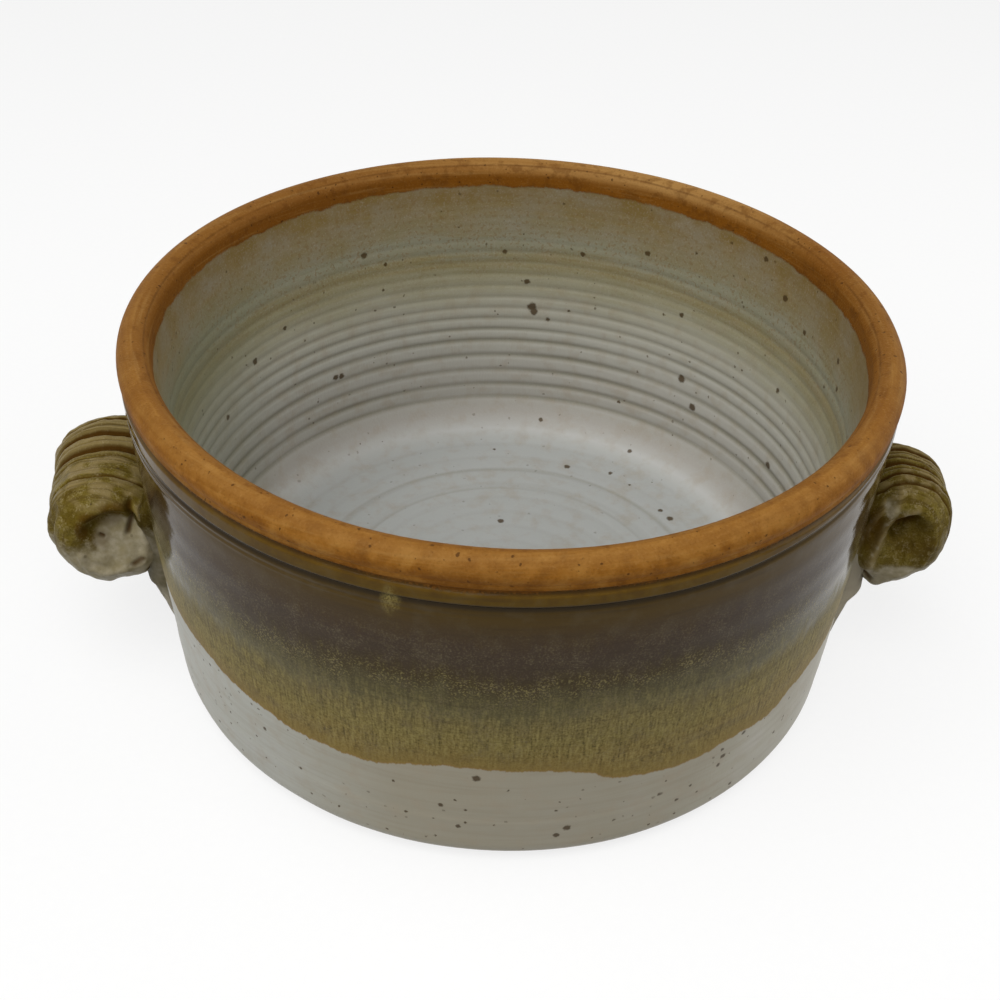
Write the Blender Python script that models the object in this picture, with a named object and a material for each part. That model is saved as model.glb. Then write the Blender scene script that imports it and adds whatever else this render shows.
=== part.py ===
"""Hand-thrown stoneware casserole dish: an open round dish with a rolled strap handle on each side.

Metres, +Z up. The origin is on the axis of the dish, at the bottom of its foot, and the handles lie
towards -X and +X. The front of the dish faces -Y.
"""

import math

import bmesh
import bpy

# Thrown dish
DISH_HEIGHT = 0.1230  # foot to the crest of the rim
RIM_RADIUS = 0.1200  # axis to the widest line of the rim
RIM_WIDTH = 0.0100  # across the rounded rim
RIM_ROUND = 0.0050  # crest of the rim to its widest line
RIM_CREASE = 0.0010  # depth of the crease under the rim
FOOT_RADIUS = 0.1140  # outside of the wall just above its foot
FOOT_CORNER = 0.0080  # rounding of the foot
WALL_SETBACK = 0.0003  # top of the wall, inside the widest line of the rim
WALL_THICKNESS = 0.0105  # wall just above the floor
FLOOR_THICKNESS = 0.0102
FLOOR_FILLET = 0.0180  # inside, where the wall turns into the floor
GROOVE_DROP = 0.0162  # crest of the rim to the turned line round the wall
GROOVE_WIDTH = 0.0026
GROOVE_DEPTH = 0.0006

# Rolled handles, which are not quite alike because each was rolled by hand
HANDLE_HEIGHT = 0.0530  # foot to the middle of each roll
HANDLE_LEAN = math.radians(3.5)  # each handle stands this much towards the front
ROLL_WIDTH = 0.0350  # roll at its front end, measured out from the wall
ROLL_REACH = 0.0320  # wall to the outermost line of the roll
LEFT_LENGTH = 0.0540
LEFT_FRONT_HEIGHT = 0.0386
LEFT_REAR_HEIGHT = 0.0388
LEFT_REAR_WIDTH = 0.0480
RIGHT_LENGTH = 0.0350
RIGHT_FRONT_HEIGHT = 0.0450
RIGHT_REAR_HEIGHT = 0.0414
RIGHT_REAR_WIDTH = 0.0394
END_ROUND = 0.0120  # rounding of both ends of a roll
LIP_RADIUS = 0.0110  # middle of the edge round the thumb hollow
HOLLOW_RADIUS = 0.0095  # thumb hollow pressed into each end
HOLLOW_DEPTH = 0.0065
RIDGE_PITCH = 0.0072  # finger ridges round the roll
RIDGE_DEPTH = 0.0011

# Pads of clay that stick the handles to the wall
PAD_SHARE = 0.78  # width of a pad beside the length of its roll
PAD_THICKNESS = 0.0040  # behind the roll
PAD_EDGE = 0.0008
PAD_RISE = 0.0150  # middle of the roll to the top of the pad
SHOULDER_THICKNESS = 0.0085  # wedge under the roll
SHOULDER_SWEEP = 1.6  # how hollow the curve from the tail to the wedge is
TAIL_LENGTH = 0.0220  # bottom of the roll to the end of the tail
TAIL_SHARE = 0.5  # width of the end of the tail beside that of its pad
LEFT_TAIL_SLANT = 0.0050  # how far the tail runs towards the front
RIGHT_TAIL_SLANT = 0.0160
PAD_SQUARENESS = 4  # power that rounds a pad off towards its edges

SEAT_GAP = 0.0003  # between pieces that touch
DISH_SEGMENTS = 96
ROLL_SEGMENTS = 32
STEPS_PER_RIDGE = 4
PAD_GRID = (8, 18)  # faces across and up a pad
ARC_STEP = 15  # degrees
SHARP_ANGLE = math.radians(35)
WELD = 1e-6

# Sizes that follow from those above
GROOVE_HEIGHT = DISH_HEIGHT - GROOVE_DROP
RIM_HEIGHT = DISH_HEIGHT - RIM_ROUND
WALL_TOP_RADIUS = RIM_RADIUS - WALL_SETBACK
ROLL_BACK = PAD_THICKNESS + 2 * SEAT_GAP
ROLL_CENTRE = ROLL_REACH - ROLL_WIDTH / 2
PAD_TOP = HANDLE_HEIGHT + PAD_RISE
DOME_CENTRE = ROLL_WIDTH / 2 - END_ROUND
DOME_DEPTH = math.sqrt(END_ROUND**2 - (LIP_RADIUS - DOME_CENTRE) ** 2)


def wall_radius(height):
    """Outside of the straight wall at a height above the foot."""
    climb = (height - FOOT_CORNER) / (GROOVE_HEIGHT - FOOT_CORNER)
    return FOOT_RADIUS + (WALL_TOP_RADIUS - FOOT_RADIUS) * climb


def arc(centre, radii, start, end):
    """Points (across, up) along an elliptical arc, with its angles in degrees."""
    points = []
    steps = round(abs(end - start) / ARC_STEP)
    for step in range(steps + 1):
        angle = math.radians(start + (end - start) * step / steps)
        points.append((centre[0] + radii[0] * math.cos(angle), centre[1] + radii[1] * math.sin(angle)))
    return points


def spun(profile, axis, segments):
    """A bmesh turned from a profile whose ends lie on the axis."""
    bm = bmesh.new()
    verts = [bm.verts.new(point) for point in profile]
    edges = [bm.edges.new(pair) for pair in zip(verts, verts[1:])]
    bmesh.ops.spin(
        bm,
        geom=verts + edges,
        cent=(0, 0, 0),
        axis=axis,
        angle=math.tau,
        steps=segments,
        use_merge=True,
    )
    bmesh.ops.remove_doubles(bm, verts=bm.verts, dist=WELD)
    return bm


def make_object(name, bm, colour, roughness):
    """Finish a bmesh as a named object with its own glaze."""
    bmesh.ops.recalc_face_normals(bm, faces=bm.faces)
    if bm.calc_volume(signed=True) < 0:
        bmesh.ops.reverse_faces(bm, faces=bm.faces)
    mesh = bpy.data.meshes.new(name)
    bm.to_mesh(mesh)
    bm.free()
    mesh.shade_smooth()
    mesh.set_sharp_from_angle(angle=SHARP_ANGLE)
    material = bpy.data.materials.new(name + "_glaze")
    material.use_nodes = True
    shader = material.node_tree.nodes["Principled BSDF"]
    shader.inputs["Base Color"].default_value = (*colour, 1)
    shader.inputs["Roughness"].default_value = roughness
    mesh.materials.append(material)
    obj = bpy.data.objects.new(name, mesh)
    bpy.context.scene.collection.objects.link(obj)
    return obj


def make_dish():
    """The thrown dish, turned in one piece: foot, wall, rim, inside wall and floor."""
    rim_centre = (RIM_RADIUS - RIM_WIDTH / 2, RIM_HEIGHT)
    rim_radii = (RIM_WIDTH / 2, RIM_ROUND)
    crease_height = RIM_HEIGHT - RIM_ROUND
    inside_foot = FOOT_RADIUS - WALL_THICKNESS
    fillet_centre = (inside_foot - FLOOR_FILLET, FLOOR_THICKNESS + FLOOR_FILLET)
    groove_low = GROOVE_HEIGHT - GROOVE_WIDTH / 2
    groove_high = GROOVE_HEIGHT + GROOVE_WIDTH / 2

    outline = [(0, 0)]
    outline += arc((FOOT_RADIUS - FOOT_CORNER, FOOT_CORNER), (FOOT_CORNER, FOOT_CORNER), -90, 0)
    outline.append((wall_radius(groove_low), groove_low))
    outline.append((wall_radius(GROOVE_HEIGHT) - GROOVE_DEPTH, GROOVE_HEIGHT))
    outline.append((WALL_TOP_RADIUS, groove_high))
    outline.append((WALL_TOP_RADIUS, (groove_high + crease_height) / 2))
    outline.append((RIM_RADIUS - RIM_CREASE, crease_height))
    outline += arc(rim_centre, rim_radii, -30, 180)
    outline += arc(fillet_centre, (FLOOR_FILLET, FLOOR_FILLET), 0, -90)
    outline.append((0, FLOOR_THICKNESS))
    bm = spun([(across, 0, up) for across, up in outline], (0, 0, 1), DISH_SEGMENTS)
    return make_object("dish_body", bm, (0.13, 0.10, 0.045), 0.3)


def turned(side, across, along, height):
    """A point beside the dish: out through the middle of a handle, along it to the rear, and up."""
    x = across * math.cos(HANDLE_LEAN) + along * math.sin(HANDLE_LEAN)
    y = along * math.cos(HANDLE_LEAN) - across * math.sin(HANDLE_LEAN)
    return (side * x, y, height)


def make_handle(name, side, length, heights, rear_width):
    """A ridged strap rolled up like a scroll, with a thumb hollow pressed into each rounded end."""
    half = length / 2
    steps = STEPS_PER_RIDGE * round(length / RIDGE_PITCH)
    front = arc((0, -half), (HOLLOW_RADIUS, HOLLOW_DEPTH), 90, 15)
    rear = [(across, -along) for across, along in reversed(front)]
    ridges = []
    for step in range(steps + 1):
        along = length * step / steps - half
        inset = max(0.0, abs(along) - (half - DOME_DEPTH))
        smooth = DOME_CENTRE + math.sqrt(END_ROUND**2 - inset**2)
        groove = (1 - math.cos(math.tau * step / STEPS_PER_RIDGE)) / 2
        ridges.append((smooth - RIDGE_DEPTH * groove, along))
    profile = front + ridges + rear

    bm = spun([(across, along, 0) for across, along in profile], (0, 1, 0), ROLL_SEGMENTS)
    for vert in bm.verts:
        out, along, up = vert.co
        share = (along + half) / length
        width = ROLL_WIDTH + (rear_width - ROLL_WIDTH) * share
        tall = heights[0] + (heights[1] - heights[0]) * share
        height = HANDLE_HEIGHT + up * tall / ROLL_WIDTH
        across = wall_radius(HANDLE_HEIGHT) + ROLL_CENTRE + out * width / ROLL_WIDTH
        seat = wall_radius(height) + ROLL_BACK
        press = max(1.0, seat / math.hypot(across, along))
        vert.co = turned(side, across * press, along * press, height)
    return make_object(name, bm, (0.12, 0.10, 0.03), 0.35)


def make_pad(name, side, length, heights, rear_width, tail_slant):
    """A pad of clay on the wall behind the roll, with a wedge under it and a tail smeared down."""
    half_height = max(heights) / 2
    half_width = rear_width / 2
    roll_bottom = HANDLE_HEIGHT - half_height
    pad_bottom = roll_bottom - TAIL_LENGTH
    pad_width = length * PAD_SHARE
    bm = bmesh.new()
    bmesh.ops.create_grid(bm, x_segments=PAD_GRID[0], y_segments=PAD_GRID[1], size=1)
    inner = list(bm.verts)
    grown = bmesh.ops.extrude_face_region(bm, geom=list(bm.faces), use_keep_orig=True)
    outer = [item for item in grown["geom"] if isinstance(item, bmesh.types.BMVert)]

    def roll_back(height):
        share = min(1.0, abs(height - HANDLE_HEIGHT) / half_height)
        return max(ROLL_BACK, ROLL_CENTRE - half_width * math.sqrt(1 - share**2))

    def thickness(across, height):
        if height < roll_bottom:
            grow = (height - pad_bottom) / TAIL_LENGTH
            full = PAD_EDGE + (SHOULDER_THICKNESS - PAD_EDGE) * grow**SHOULDER_SWEEP
        else:
            full = min(SHOULDER_THICKNESS, roll_back(height) - 2 * SEAT_GAP)
            full = min(full, PAD_EDGE + (PAD_TOP - height))
        return PAD_EDGE + max(0.0, full - PAD_EDGE) * (1 - across**PAD_SQUARENESS)

    def settle(vert, lifted):
        across = vert.co.x
        height = pad_bottom + (PAD_TOP - pad_bottom) * (vert.co.y + 1) / 2
        narrowing = max(0.0, (roll_bottom - height) / TAIL_LENGTH)
        width = pad_width * (1 + (TAIL_SHARE - 1) * narrowing**2)
        stand = SEAT_GAP + (thickness(across, height) if lifted else 0.0)
        angle = (across * width / 2 - tail_slant * narrowing) / wall_radius(height)
        reach = wall_radius(height) + stand
        vert.co = turned(side, reach * math.cos(angle), reach * math.sin(angle), height)

    for vert in outer:
        settle(vert, True)
    for vert in inner:
        settle(vert, False)
    return make_object(name, bm, (0.20, 0.17, 0.10), 0.4)


for old in list(bpy.data.objects):
    bpy.data.objects.remove(old, do_unlink=True)

make_dish()
left_heights = (LEFT_FRONT_HEIGHT, LEFT_REAR_HEIGHT)
right_heights = (RIGHT_FRONT_HEIGHT, RIGHT_REAR_HEIGHT)
make_pad("left_handle_pad", -1, LEFT_LENGTH, left_heights, LEFT_REAR_WIDTH, LEFT_TAIL_SLANT)
make_handle("left_handle", -1, LEFT_LENGTH, left_heights, LEFT_REAR_WIDTH)
make_pad("right_handle_pad", 1, RIGHT_LENGTH, right_heights, RIGHT_REAR_WIDTH, RIGHT_TAIL_SLANT)
make_handle("right_handle", 1, RIGHT_LENGTH, right_heights, RIGHT_REAR_WIDTH)
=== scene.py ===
"""Hand-thrown stoneware casserole dish with a rolled handle on each side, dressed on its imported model.

Sizes are in millimetres up to the end of each piece, where its mesh is scaled to metres. +Z is up,
the front of the dish faces -Y, and the handles lie towards -X and +X.
"""

import math

import bmesh
import bpy
from mathutils import Matrix, Vector, noise


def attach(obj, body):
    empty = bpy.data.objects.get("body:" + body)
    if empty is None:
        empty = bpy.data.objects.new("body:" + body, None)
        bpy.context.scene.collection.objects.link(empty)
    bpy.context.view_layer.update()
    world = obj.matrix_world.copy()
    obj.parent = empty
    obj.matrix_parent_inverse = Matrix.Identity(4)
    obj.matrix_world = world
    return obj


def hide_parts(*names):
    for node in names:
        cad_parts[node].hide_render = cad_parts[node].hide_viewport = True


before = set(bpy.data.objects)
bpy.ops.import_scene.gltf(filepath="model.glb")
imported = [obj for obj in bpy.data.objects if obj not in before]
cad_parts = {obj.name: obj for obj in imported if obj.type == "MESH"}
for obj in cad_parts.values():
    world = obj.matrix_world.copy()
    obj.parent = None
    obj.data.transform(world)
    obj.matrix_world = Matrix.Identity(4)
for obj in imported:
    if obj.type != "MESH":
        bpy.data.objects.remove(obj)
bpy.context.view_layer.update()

# Thrown dish
# One lump of speckled stoneware clay, thrown on a wheel, so each line on it runs round.
# It was dipped whole in a pale glaze and then, upside down, in a brown ash glaze that ran
# into streaks. The rim was wiped bare, and the fire toasted it orange.

MM = 0.001
DISH_HEIGHT = 123.0
RIM_RADIUS = 120.0
RIM_ROUND = 5.0
FOOT_RADIUS = 114.0
FOOT_CORNER = 8.0
WALL_TOP_RADIUS = 119.7
WALL_MIDDLE = 5.0
INSIDE_TOP_RADIUS = 110.0
INSIDE_FOOT_RADIUS = 103.5
FLOOR_HEIGHT = 10.2
FLOOR_FILLET = 18.0
FINE_STEPS_FROM = 100.0
RIM_START = -32
DISH_SEGMENTS = 192
ON_AXIS = 0.01

# The turned line, how far it climbs towards the right and how much of it is left, by degrees round the dish
GROOVE_HEIGHT = 106.8
GROOVE_HALF = 1.3
GROOVE_DEPTH = 0.6
GROOVE_RISE = (
    (-180, 0.0), (-140, 0.0), (-88, 0.9), (-66, 1.0), (-46, 2.6), (-36, 4.0), (-18, 4.6), (20, 4.0),
    (80, 1.0), (180, 0.0),
)
GROOVE_LEFT = (
    (-180, 0.3), (-152, 0.3), (-137, 1.0), (-62, 1.0), (-44, 0.6), (-32, 0.35), (20, 0.3), (180, 0.3),
)

# Other lines round the outside, as height, half width and how far they stand out: a crease under the
# rim, a bead above the foot, and a bead and a scratch that run only round the left of the front
CREASE_HEIGHT = 113.2
CREASE_TOP = CREASE_HEIGHT + 1.2
OUTER_LINES = ((CREASE_HEIGHT, 1.5, -0.9), (18.0, 1.6, 0.14))
LEFT_LINES = ((103.4, 0.7, 0.08), (104.6, 0.8, -0.10))
LEFT_LINES_START = (-85, -118)
LEFT_LINES_END = (-178, -160)
WAVE_PITCH = 10.5
WAVE_DEPTH = 0.04
WAVE_TOP = (112.0, 100.0)
LUMP_SIZE = 22.0
LUMP_DEPTH = 0.16
LUMP_MIDDLE = (0.0, 20.0)

# The rim sags a little at the front, where it is also thinner
RIM_SAG = 1.6
RIM_THINNER = 1.0
SAG_MIDDLE = -88.0
SAG_HALF = 80.0
SAG_HEIGHTS = (92.0, 113.0)
THIN_HEIGHTS = (96.0, 116.0)
THIN_RADII = (118.0, 112.0)

# The potter's fingers left these rings up the inside wall, joined in one spiral, shallower near the top
RING_HEIGHTS = (92.6, 88.0, 83.6, 78.8, 73.8, 68.8, 64.2, 59.6, 54.7, 49.7, 43.0, 36.3, 29.7, 23.8, 17.8)
RING_DEPTH = 0.52
RING_TOP = (95.5, 90.0)
RING_FOOT = (19.0, 25.0)
UPPER_SHARE = 0.45
UPPER_HEIGHTS = (70.0, 52.0)
RING_EVEN = 0.85
RING_UNEVEN = 0.5
RING_UNEVEN_SIZE = 45.0
FINE_RING_PITCH = 3.1
FINE_RING_DEPTH = 0.05
FINE_RING_FOOT = (93.0, 97.0)
FINE_RING_TOP = (113.0, 108.0)
FLOOR_RING_PITCH = 9.0
FLOOR_RING_DEPTH = 0.14
FLOOR_RING_TONE = 0.22
FLOOR_RING_RADII = (4.0, 14.0)
FLOOR_CIRCLES = (71.0, 59.0)
CIRCLE_HALF = 1.6
CIRCLE_DEPTH = 0.10
CIRCLE_TONE = 0.40
CIRCLE_STRAY = 1.5

# The lower edge of the ash glaze, as degrees round the dish and height
GLAZE_EDGE = (
    (-180, 45.0), (-160, 46.0), (-142, 45.0), (-135, 42.0), (-129, 41.0), (-122, 38.5), (-110, 38.0),
    (-103, 41.5), (-98, 43.5), (-92, 43.0), (-84, 42.5), (-80, 41.0), (-75, 36.0), (-72, 34.5), (-66, 33.0),
    (-60, 33.5), (-55, 35.0), (-47, 33.5), (-41, 38.0), (-35, 39.5), (-15, 41.0), (20, 38.0), (60, 40.0),
    (95, 37.0), (130, 43.0), (160, 41.0), (180, 45.0),
)


def ease(low, high, value):
    """0 below low and 1 above high, with a smooth way between them."""
    share = min(1.0, max(0.0, (value - low) / (high - low)))
    return share * share * (3 - 2 * share)


def follow(table, value):
    """Smoothly read a table of (value, result) pairs."""
    for (start, first), (end, last) in zip(table, table[1:]):
        if value <= end:
            return first + (last - first) * ease(start, end, value)
    return table[-1][1]


def hump(offset, half):
    """A rounded groove or ridge: 1 in its middle and 0 from half its width on."""
    return (1 + math.cos(math.pi * min(1.0, abs(offset) / half))) / 2


def wave(turns):
    """A wave that is 1 at each whole turn and 0 halfway between."""
    return 0.5 + 0.5 * math.cos(math.tau * turns)


def line_to(profile, end, step):
    """Carry a profile on in a straight line, with a point about every step."""
    start = profile[-1]
    steps = max(1, round(math.dist(start, end) / step))
    for number in range(1, steps + 1):
        profile.append(tuple(a + (b - a) * number / steps for a, b in zip(start, end)))


def arc_to(profile, centre, radius, start, end, step):
    """Carry a profile on round an arc, with its angles in degrees."""
    steps = round(abs(end - start) / step)
    for number in range(steps + 1):
        angle = math.radians(start + (end - start) * number / steps)
        profile.append((centre[0] + radius * math.cos(angle), centre[1] + radius * math.sin(angle)))


def turned(profile, axis, segments):
    """Turn a profile of points round an axis that both its ends lie on."""
    bm = bmesh.new()
    verts = [bm.verts.new(point) for point in profile]
    edges = [bm.edges.new(pair) for pair in zip(verts, verts[1:])]
    bmesh.ops.spin(
        bm, geom=verts + edges, cent=(0, 0, 0), axis=axis, angle=math.tau, steps=segments, use_merge=True
    )
    bmesh.ops.remove_doubles(bm, verts=bm.verts, dist=0.001)
    return bm


def float_layers(bm, names):
    """New layers of a mesh that its material reads, by name."""
    return {name: bm.verts.layers.float.new(name) for name in names}


def finish_piece(name, bm, material):
    """Scale a mesh to metres and make it a piece that stands for the CAD node of the same name."""
    bmesh.ops.scale(bm, vec=(MM, MM, MM), verts=bm.verts)
    bmesh.ops.recalc_face_normals(bm, faces=bm.faces)
    if bm.calc_volume(signed=True) < 0:
        bmesh.ops.reverse_faces(bm, faces=bm.faces)
    mesh = bpy.data.meshes.new(name + "_piece")
    bm.to_mesh(mesh)
    bm.free()
    mesh.shade_smooth()
    mesh.materials.append(material)
    piece = bpy.data.objects.new(name + "_piece", mesh)
    bpy.context.scene.collection.objects.link(piece)
    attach(piece, "root")
    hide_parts(name)


def wall_radius(height):
    """Outside of the straight wall at a height above the foot."""
    climb = (height - FOOT_CORNER) / (GROOVE_HEIGHT - FOOT_CORNER)
    return FOOT_RADIUS + (WALL_TOP_RADIUS - FOOT_RADIUS) * min(1.0, climb)


def inside_radius(height):
    """Inside of the wall at a height above the foot."""
    climb = (height - FLOOR_HEIGHT - FLOOR_FILLET) / (DISH_HEIGHT - RIM_ROUND - FLOOR_HEIGHT - FLOOR_FILLET)
    return INSIDE_FOOT_RADIUS + (INSIDE_TOP_RADIUS - INSIDE_FOOT_RADIUS) * climb


def ring_groove(height, turn):
    """How deep in a throwing ring a point of the inside wall lies, from 0 to 1."""
    phase = len(RING_HEIGHTS) - 1
    for number, (upper, lower) in enumerate(zip(RING_HEIGHTS, RING_HEIGHTS[1:])):
        if height >= lower:
            phase = number + (upper - height) / (upper - lower)
            break
    return wave(phase + 0.25 - turn) ** 3


rim_centre = (RIM_RADIUS - RIM_ROUND, DISH_HEIGHT - RIM_ROUND)
fillet_centre = (INSIDE_FOOT_RADIUS - FLOOR_FILLET, FLOOR_HEIGHT + FLOOR_FILLET)
outline = [(0.0, 0.0)]
line_to(outline, (FOOT_RADIUS - FOOT_CORNER, 0.0), 4.0)
outline.pop()
arc_to(outline, (FOOT_RADIUS - FOOT_CORNER, FOOT_CORNER), FOOT_CORNER, -90, 0, 9)
line_to(outline, (wall_radius(FINE_STEPS_FROM), FINE_STEPS_FROM), 1.2)
line_to(outline, (WALL_TOP_RADIUS, GROOVE_HEIGHT), 0.32)
line_to(outline, (WALL_TOP_RADIUS, CREASE_TOP), 0.32)
arc_to(outline, rim_centre, RIM_ROUND, RIM_START, 180, 6)
line_to(outline, (INSIDE_FOOT_RADIUS, fillet_centre[1]), 0.75)
outline.pop()
arc_to(outline, fillet_centre, FLOOR_FILLET, 0, -90, 3)
line_to(outline, (0.0, FLOOR_HEIGHT), 1.4)
bm = turned([(across, 0, up) for across, up in outline], (0, 0, 1), DISH_SEGMENTS)

DISH_LAYERS = ("up", "above_groove", "groove_left", "inside", "ring", "above_edge")
layers = float_layers(bm, DISH_LAYERS)
for vert in bm.verts:
    radius = math.hypot(vert.co.x, vert.co.y)
    height = vert.co.z
    vert[layers["up"]] = height
    if radius < ON_AXIS:
        vert[layers["inside"]] = float(height > 1)
        vert[layers["above_edge"]] = vert[layers["above_groove"]] = -GROOVE_HEIGHT
        continue
    turn = math.atan2(vert.co.y, vert.co.x) / math.tau
    degrees = turn * 360
    within = height > FLOOR_HEIGHT - 2 and radius < wall_radius(max(FOOT_CORNER, height)) - WALL_MIDDLE
    above_groove = height - GROOVE_HEIGHT - follow(GROOVE_RISE, degrees)
    groove_left = follow(GROOVE_LEFT, degrees)
    out = drop = groove = 0.0
    if within:
        wall = ease(FLOOR_HEIGHT + 0.5, FLOOR_HEIGHT + FLOOR_FILLET * 0.6, height)
        shallower = UPPER_SHARE + (1 - UPPER_SHARE) * ease(*UPPER_HEIGHTS, height)
        groove = ring_groove(height, turn) * ease(*RING_TOP, height) * shallower * ease(*RING_FOOT, height)
        uneven_place = Vector((vert.co.x, vert.co.y, height * 3)) / RING_UNEVEN_SIZE
        groove *= RING_EVEN + RING_UNEVEN * noise.noise(uneven_place)
        out = RING_DEPTH * groove
        fine_ring = wave(height / FINE_RING_PITCH + turn)
        out += FINE_RING_DEPTH * fine_ring * ease(*FINE_RING_FOOT, height) * ease(*FINE_RING_TOP, height)
        swirl = wave(radius / FLOOR_RING_PITCH + turn) ** 2 * (1 - wall)
        drop = FLOOR_RING_DEPTH * swirl * ease(*FLOOR_RING_RADII, radius)
        groove += FLOOR_RING_TONE * swirl
        for circle in FLOOR_CIRCLES:
            stray_circle = circle + CIRCLE_STRAY * math.sin(turn * math.tau + circle)
            mark = hump(radius - stray_circle, CIRCLE_HALF) * (1 - wall)
            drop += CIRCLE_DEPTH * mark
            groove += CIRCLE_TONE * mark
    elif height > FOOT_CORNER:
        out = WAVE_DEPTH * math.sin(math.tau * (height / WAVE_PITCH + turn)) * ease(*WAVE_TOP, height)
        out -= GROOVE_DEPTH * groove_left * hump(above_groove, GROOVE_HALF)
        out += sum(stand * hump(height - line, half) for line, half, stand in OUTER_LINES)
        leftwards = ease(*LEFT_LINES_START, degrees) * ease(*LEFT_LINES_END, degrees)
        out += leftwards * sum(stand * hump(height - line, half) for line, half, stand in LEFT_LINES)
    lump = LUMP_DEPTH * noise.noise(Vector((vert.co.x, vert.co.y, height)) / LUMP_SIZE)
    grow = (radius + out + lump * ease(*LUMP_MIDDLE, radius)) / radius
    sag = hump(degrees - SAG_MIDDLE, SAG_HALF)
    grow *= 1 + RIM_THINNER * sag * ease(*THIN_HEIGHTS, height) * ease(*THIN_RADII, radius) / radius
    vert.co.x *= grow
    vert.co.y *= grow
    vert.co.z -= drop + RIM_SAG * sag * ease(*SAG_HEIGHTS, height)
    vert[layers["inside"]] = float(within)
    vert[layers["above_groove"]] = above_groove
    vert[layers["groove_left"]] = groove_left
    vert[layers["ring"]] = groove
    vert[layers["above_edge"]] = height - follow(GLAZE_EDGE, degrees)


def linear(colour):
    """An sRGB hex colour as the linear colour that a shader takes."""
    parts = [int(colour[at:at + 2], 16) / 255 for at in (1, 3, 5)]
    return (*[part / 12.92 if part <= 0.04045 else ((part + 0.055) / 1.055) ** 2.4 for part in parts], 1)


def add(tree, kind, links, out=0, **settings):
    """Add a node with its settings and links, and give back one of its outputs."""
    node = tree.nodes.new("ShaderNode" + kind)
    stops = settings.pop("stops", ())
    for setting, value in settings.items():
        setattr(node, setting, value)
    for number, (position, colour) in enumerate(stops):
        stop = node.color_ramp.elements[number] if number < 2 else node.color_ramp.elements.new(position)
        stop.position = position
        stop.color = linear(colour)
    for socket, value in links.items():
        if isinstance(value, bpy.types.NodeSocket):
            tree.links.new(value, node.inputs[socket])
        else:
            node.inputs[socket].default_value = linear(value) if isinstance(value, str) else value
    return node.outputs[out]


def mottle(tree, place, size, stretch=(1, 1, 1), detail=2.0):
    """Noise with patches of about size millimetres, drawn out along an axis where stretch is under 1."""
    scale = [along / (size * MM) for along in stretch]
    laid = add(tree, "Mapping", {"Vector": place, "Scale": scale})
    return add(tree, "TexNoise", {"Vector": laid, "Scale": 1.0, "Detail": detail, "Roughness": 0.55})


def iron_specks(tree, place, spacing, size, share):
    """Spots where iron in the clay melts through: spacing and size in millimetres, and how many show."""
    cells = {"Vector": place, "Scale": 1 / (spacing * MM)}
    away = add(tree, "TexVoronoi", cells, out="Distance")
    chance = add(tree, "SeparateColor", {0: add(tree, "TexVoronoi", cells, out="Color")})
    reach = add(tree, "MapRange", {0: chance, 1: 1 - share, 2: 1.0, 3: 0.0, 4: size / 2 / spacing})
    reach = add(tree, "Math", {0: reach, 1: 0.0001}, operation="MAXIMUM")
    ratio = add(tree, "Math", {0: away, 1: reach}, operation="DIVIDE")
    return add(tree, "MapRange", {0: ratio, 1: 1.0, 2: 0.55}, interpolation_type="SMOOTHSTEP")


def stray(tree, value, pattern, reach, low=0.3, high=0.7):
    """Let a value stray with a pattern, by up to reach each way."""
    shift = add(tree, "MapRange", {0: pattern, 1: low, 2: high, 3: -reach, 4: reach})
    return add(tree, "Math", {0: value, 1: shift})


def keep_where(tree, share, pattern, low, high, least=0.0, most=1.0):
    """Keep the least part of a share where a pattern is at low, and the most of it where it is at high."""
    part = add(tree, "MapRange", {0: pattern, 1: low, 2: high, 3: least, 4: most})
    return add(tree, "Math", {0: share, 1: part}, operation="MULTIPLY")


def lay_over(tree, base, colour, pattern, low, high, share, bounds=(), blend="LINEAR"):
    """Lay a colour over a base, from none where a pattern is at low to its share at high, within bounds."""
    amount = add(
        tree, "MapRange", {0: pattern, 1: low, 2: high, 3: 0.0, 4: share}, interpolation_type=blend
    )
    for bound in bounds:
        amount = add(tree, "Math", {0: amount, 1: bound}, operation="MULTIPLY")
    return add(tree, "Mix", {0: amount, 6: base, 7: colour}, out=2, data_type="RGBA")


def round_dish(degrees, radius, up):
    """A point of the dish in metres, from degrees round it, distance from its axis and height."""
    angle = math.radians(degrees)
    return (radius * math.cos(angle) * MM, radius * math.sin(angle) * MM, up * MM)


# Larger specks of iron: degrees round the dish, height and size on the walls; on the floor, degrees round,
# distance from the axis and size
INSIDE_SPECKS = (
    (84, 65, 3.5), (83.5, 63, 3.0), (120, 92, 2.5), (149.5, 68.5, 2.5), (129, 45, 2.5), (127.5, 44.5, 2.5),
    (48.5, 49.5, 3.0), (44.5, 40, 3.0), (20, 39.5, 3.0), (27, 102, 2.5), (19.5, 96, 2.0), (34, 111, 2.0),
    (74, 89.5, 2.0), (51, 75.5, 2.0), (115.5, 86.5, 1.5), (62.5, 29.5, 1.5),
)
OUTSIDE_SPECKS = (
    (-94.5, 39, 2.5), (-128.5, 30.5, 1.5), (-97, 16, 1.5), (-82.5, 12, 2.0), (-56.5, 31, 1.5),
    (-56, 27.5, 2.0), (-56.5, 24, 1.5), (-99.5, 25, 1.5), (-63.5, 15.5, 1.5),
)
FLOOR_SPECK = (31.5, 76.5, 2.5)
large_specks = [(round_dish(degrees, inside_radius(up), up), size) for degrees, up, size in INSIDE_SPECKS]
large_specks += [(round_dish(degrees, wall_radius(up), up), size) for degrees, up, size in OUTSIDE_SPECKS]
large_specks.append((round_dish(FLOOR_SPECK[0], FLOOR_SPECK[1], FLOOR_HEIGHT), FLOOR_SPECK[2]))

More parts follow.
